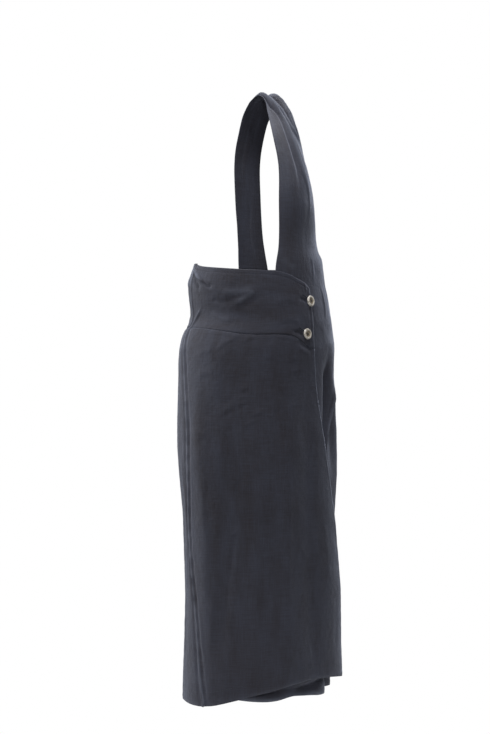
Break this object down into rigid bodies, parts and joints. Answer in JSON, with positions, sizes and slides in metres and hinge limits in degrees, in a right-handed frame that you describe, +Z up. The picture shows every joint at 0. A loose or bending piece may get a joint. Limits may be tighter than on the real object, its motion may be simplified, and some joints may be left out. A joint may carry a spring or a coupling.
{
  "type": "one-shoulder overall skirt",
  "caption": "Wrap skirt with a deep waistband and a bib cut in one with its under panel that rises over one shoulder, in its worn form, closed by buttons at the side front.",
  "frame": {"origin": "in the middle of the hollow waist, on the wearer's waist line, 47 mm below the waistband's top edge at the right side", "axes": "+Z up, the front faces -Y, the wearer's left is +X"},
  "size_m": [0.3554, 0.2649, 1.1716],
  "materials": {
    "linen": "dark navy washed linen, plain weave, matt with a faint sheen along folds",
    "button": "pale grey-brown mottled four-hole button, polished rim"
  },
  "bodies": {
    "root": {"right_front_panel": "linen", "left_front_panel": "linen", "back_skirt_panel": "linen", "waistband_front": "linen", "waistband_back": "linen", "back_strap": "linen", "button_upper": "button", "button_lower": "button"}
  },
  "joints": []
}
